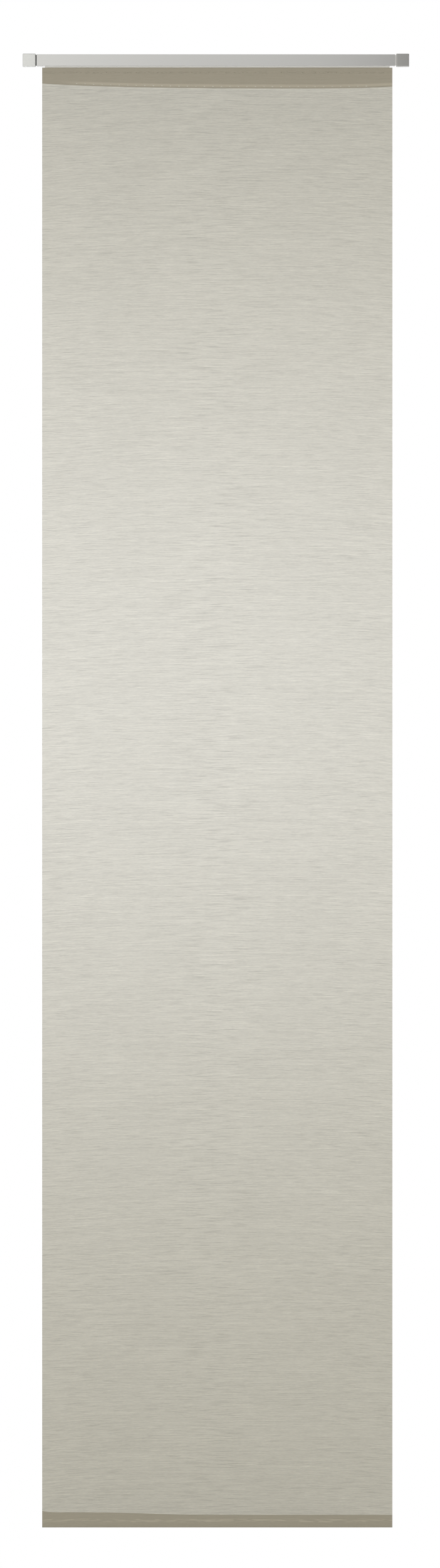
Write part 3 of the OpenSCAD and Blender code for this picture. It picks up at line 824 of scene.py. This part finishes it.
def lay_floor():
    """A round pale floor that takes the shadow near the panel and fades to white further out."""
    angle = np.linspace(0, 2 * np.pi, FLOOR_SIDES, endpoint=False)
    level = np.full(FLOOR_SIDES, bottom - FLOOR_DROP)
    ring = np.stack([FLOOR_RADIUS * np.cos(angle), FLOOR_RADIUS * np.sin(angle), level], axis=-1)
    material, tree, shader = start_material("pale_studio_floor")
    shader.inputs["Base Color"].default_value = srgb("#E8E8E6")
    shader.inputs["Roughness"].default_value = 0.9
    place = add_node(tree, "ShaderNodeTexCoord").outputs["Object"]
    flat = add_node(tree, "ShaderNodeVectorMath", {"operation": "MULTIPLY"},
                    {0: place, 1: (1, 1, 0)}).outputs[0]
    reach = add_node(tree, "ShaderNodeVectorMath", {"operation": "LENGTH"}, {0: flat}).outputs["Value"]
    fade = add_node(tree, "ShaderNodeMapRange", {"interpolation_type": "SMOOTHSTEP"}, {
        "Value": reach, "From Min": FLOOR_FADE[0], "From Max": FLOOR_FADE[1],
        "To Min": FLOOR_GLOW[0], "To Max": FLOOR_GLOW[1]}).outputs[0]
    path = add_node(tree, "ShaderNodeLightPath").outputs
    seen = add_node(tree, "ShaderNodeMath", {"operation": "MAXIMUM"},
                    {0: path["Is Camera Ray"], 1: path["Is Glossy Ray"]}).outputs[0]
    glow = add_node(tree, "ShaderNodeMath", {"operation": "MULTIPLY"}, {0: seen, 1: fade}).outputs[0]
    tree.links.new(glow, shader.inputs["Emission Strength"])
    shader.inputs["Emission Color"].default_value = (1, 1, 1, 1)
    make_piece("studio_floor", ring, [list(range(FLOOR_SIDES))], material)


paint_sky()
lay_floor()

# %% Lamps and cards
LAMP_SIDE, LAMP_AWAY, LAMP_LEVEL = 1.0, 1.2, -1.05
LAMP_SIZE, LAMP_WATTS, LAMP_COLOUR = (4.0, 0.1), 18.0, "#EBEFFF"
BRIGHT_CARD_PLACE, BRIGHT_CARD_AIM = (-0.53, -0.9, 0.15), (-0.25, 0, 0)
BRIGHT_CARD_SIZE, BRIGHT_CARD_WATTS = (0.3, 0.5), 1.12
DARK_CARD_START, DARK_CARD_END, DARK_CARD_EDGE = (0.36, -0.4, -0.25), (0.8, -0.25, -0.25), (0, 0, 0.5)
FLAG_REACH = 0.6
# Each flag has its front edge's y, its z, its depth along y and its colour.
FLAGS = {
    "top_flag": (-0.33, 0.06, 0.3, "#C6C6C4"),
    "low_flag": (-0.13, bottom - 0.05, 0.1, "#C2C2C0"),
}


def soft_lamp(name, place, aim, size, watts, code="#FFFFFF", gloss_only=False):
    """A rectangular area lamp at place, turned to aim, that the camera doesn't see."""
    lamp = bpy.data.objects.new(name, bpy.data.lights.new(name, "AREA"))
    lamp.data.shape = "RECTANGLE"
    lamp.data.size, lamp.data.size_y = size
    lamp.data.energy = watts
    lamp.data.color = srgb(code)[:3]
    lamp.location = place
    lamp.rotation_euler = (Vector(aim) - Vector(place)).to_track_quat("-Z", "Y").to_euler()
    lamp.visible_camera = False
    lamp.visible_diffuse = not gloss_only
    bpy.context.scene.collection.objects.link(lamp)


def studio_card(name, start, end, edge, code, in_reflections):
    """A flat card with corners start, end, end + edge and start + edge that the camera doesn't see.
    Either it shows in reflections only, or it only keeps soft light off what is near."""
    start, end, edge = (np.array(v) for v in (start, end, edge))
    material, _, shader = start_material(name)
    shader.inputs["Base Color"].default_value = srgb(code)
    card = make_piece(name, np.stack([start, end, end + edge, start + edge]), [[0, 1, 2, 3]], material)
    card.visible_camera = False
    card.visible_glossy = in_reflections
    card.visible_diffuse = not in_reflections
    card.visible_shadow = False


for name, side in (("front_softbox", -1), ("back_softbox", 1)):
    soft_lamp(name, (side * LAMP_SIDE, side * LAMP_AWAY, LAMP_LEVEL), (side * LAMP_SIDE, 0, LAMP_LEVEL),
              LAMP_SIZE, LAMP_WATTS, LAMP_COLOUR)
soft_lamp("bright_card", BRIGHT_CARD_PLACE, BRIGHT_CARD_AIM, BRIGHT_CARD_SIZE, BRIGHT_CARD_WATTS,
          gloss_only=True)
studio_card("dark_card", DARK_CARD_START, DARK_CARD_END, DARK_CARD_EDGE, "#303030", True)
for name, (y, z, deep, code) in FLAGS.items():
    studio_card(name, (-FLAG_REACH, y, z), (FLAG_REACH, y, z), (0, deep, 0), code, False)

# %% [markdown]
# ## Plain colours
# The view transform stays plain, so that a colour renders as it is written.

# %% View transform
bpy.context.scene.view_settings.view_transform = "Standard"
